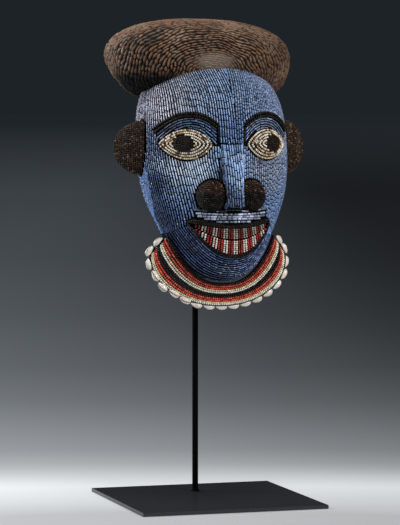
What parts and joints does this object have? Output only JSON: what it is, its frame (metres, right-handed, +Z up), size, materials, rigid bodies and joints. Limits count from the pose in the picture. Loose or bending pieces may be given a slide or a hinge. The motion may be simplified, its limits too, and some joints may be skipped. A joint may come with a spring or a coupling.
{
  "type": "beaded wooden mask on a display stand",
  "caption": "Carved wooden face mask with an oval coiffure, glass beadwork over the face, ears and collar, and a cowrie edge, held up by a rod on a square steel plate.",
  "frame": {"origin": "centre of the base plate's underside", "axes": "+Z up, -Y the way the face looks, +X towards the viewer's right"},
  "size_m": [0.2774, 0.2897, 0.662],
  "materials": {
    "black_steel": "satin black paint",
    "carved_wood": "gouge-cut, dark and worn",
    "blue_beads": "opaque glass bugle beads",
    "collar_beads": "opaque glass seed beads in rows",
    "black_beads": "opaque black glass beads",
    "dark_beads": "dull brown-black glass seed beads",
    "red_beads": "red and white glass seed beads",
    "cream_beads": "cream glass seed beads",
    "cowrie_shell": "polished cowrie shell"
  },
  "bodies": {
    "root": {"base_plate": "black_steel", "stand_rod": "black_steel", "carved_wood_mask": "carved_wood", "blue_bead_face": "blue_beads", "beaded_collar": "collar_beads", "black_bead_lips": "black_beads", "bead_teeth_upper": "red_beads", "bead_teeth_lower": "red_beads", "beaded_ear_left": "dark_beads", "beaded_ear_right": "dark_beads", "beaded_nostril_left": "dark_beads", "beaded_nostril_right": "dark_beads", "bead_brow_left": "black_beads", "bead_brow_right": "black_beads", "bead_eye_left": "cream_beads", "bead_eye_right": "cream_beads", "bead_pupil_left": "dark_beads", "bead_pupil_right": "dark_beads", "cowrie_01": "cowrie_shell", "cowrie_02": "cowrie_shell", "cowrie_03": "cowrie_shell", "cowrie_04": "cowrie_shell", "cowrie_05": "cowrie_shell", "cowrie_06": "cowrie_shell", "cowrie_07": "cowrie_shell", "cowrie_08": "cowrie_shell", "cowrie_09": "cowrie_shell", "cowrie_10": "cowrie_shell", "cowrie_11": "cowrie_shell", "cowrie_12": "cowrie_shell", "cowrie_13": "cowrie_shell", "cowrie_14": "cowrie_shell", "cowrie_15": "cowrie_shell", "cowrie_16": "cowrie_shell", "cowrie_17": "cowrie_shell", "cowrie_18": "cowrie_shell", "cowrie_19": "cowrie_shell"}
  },
  "joints": []
}
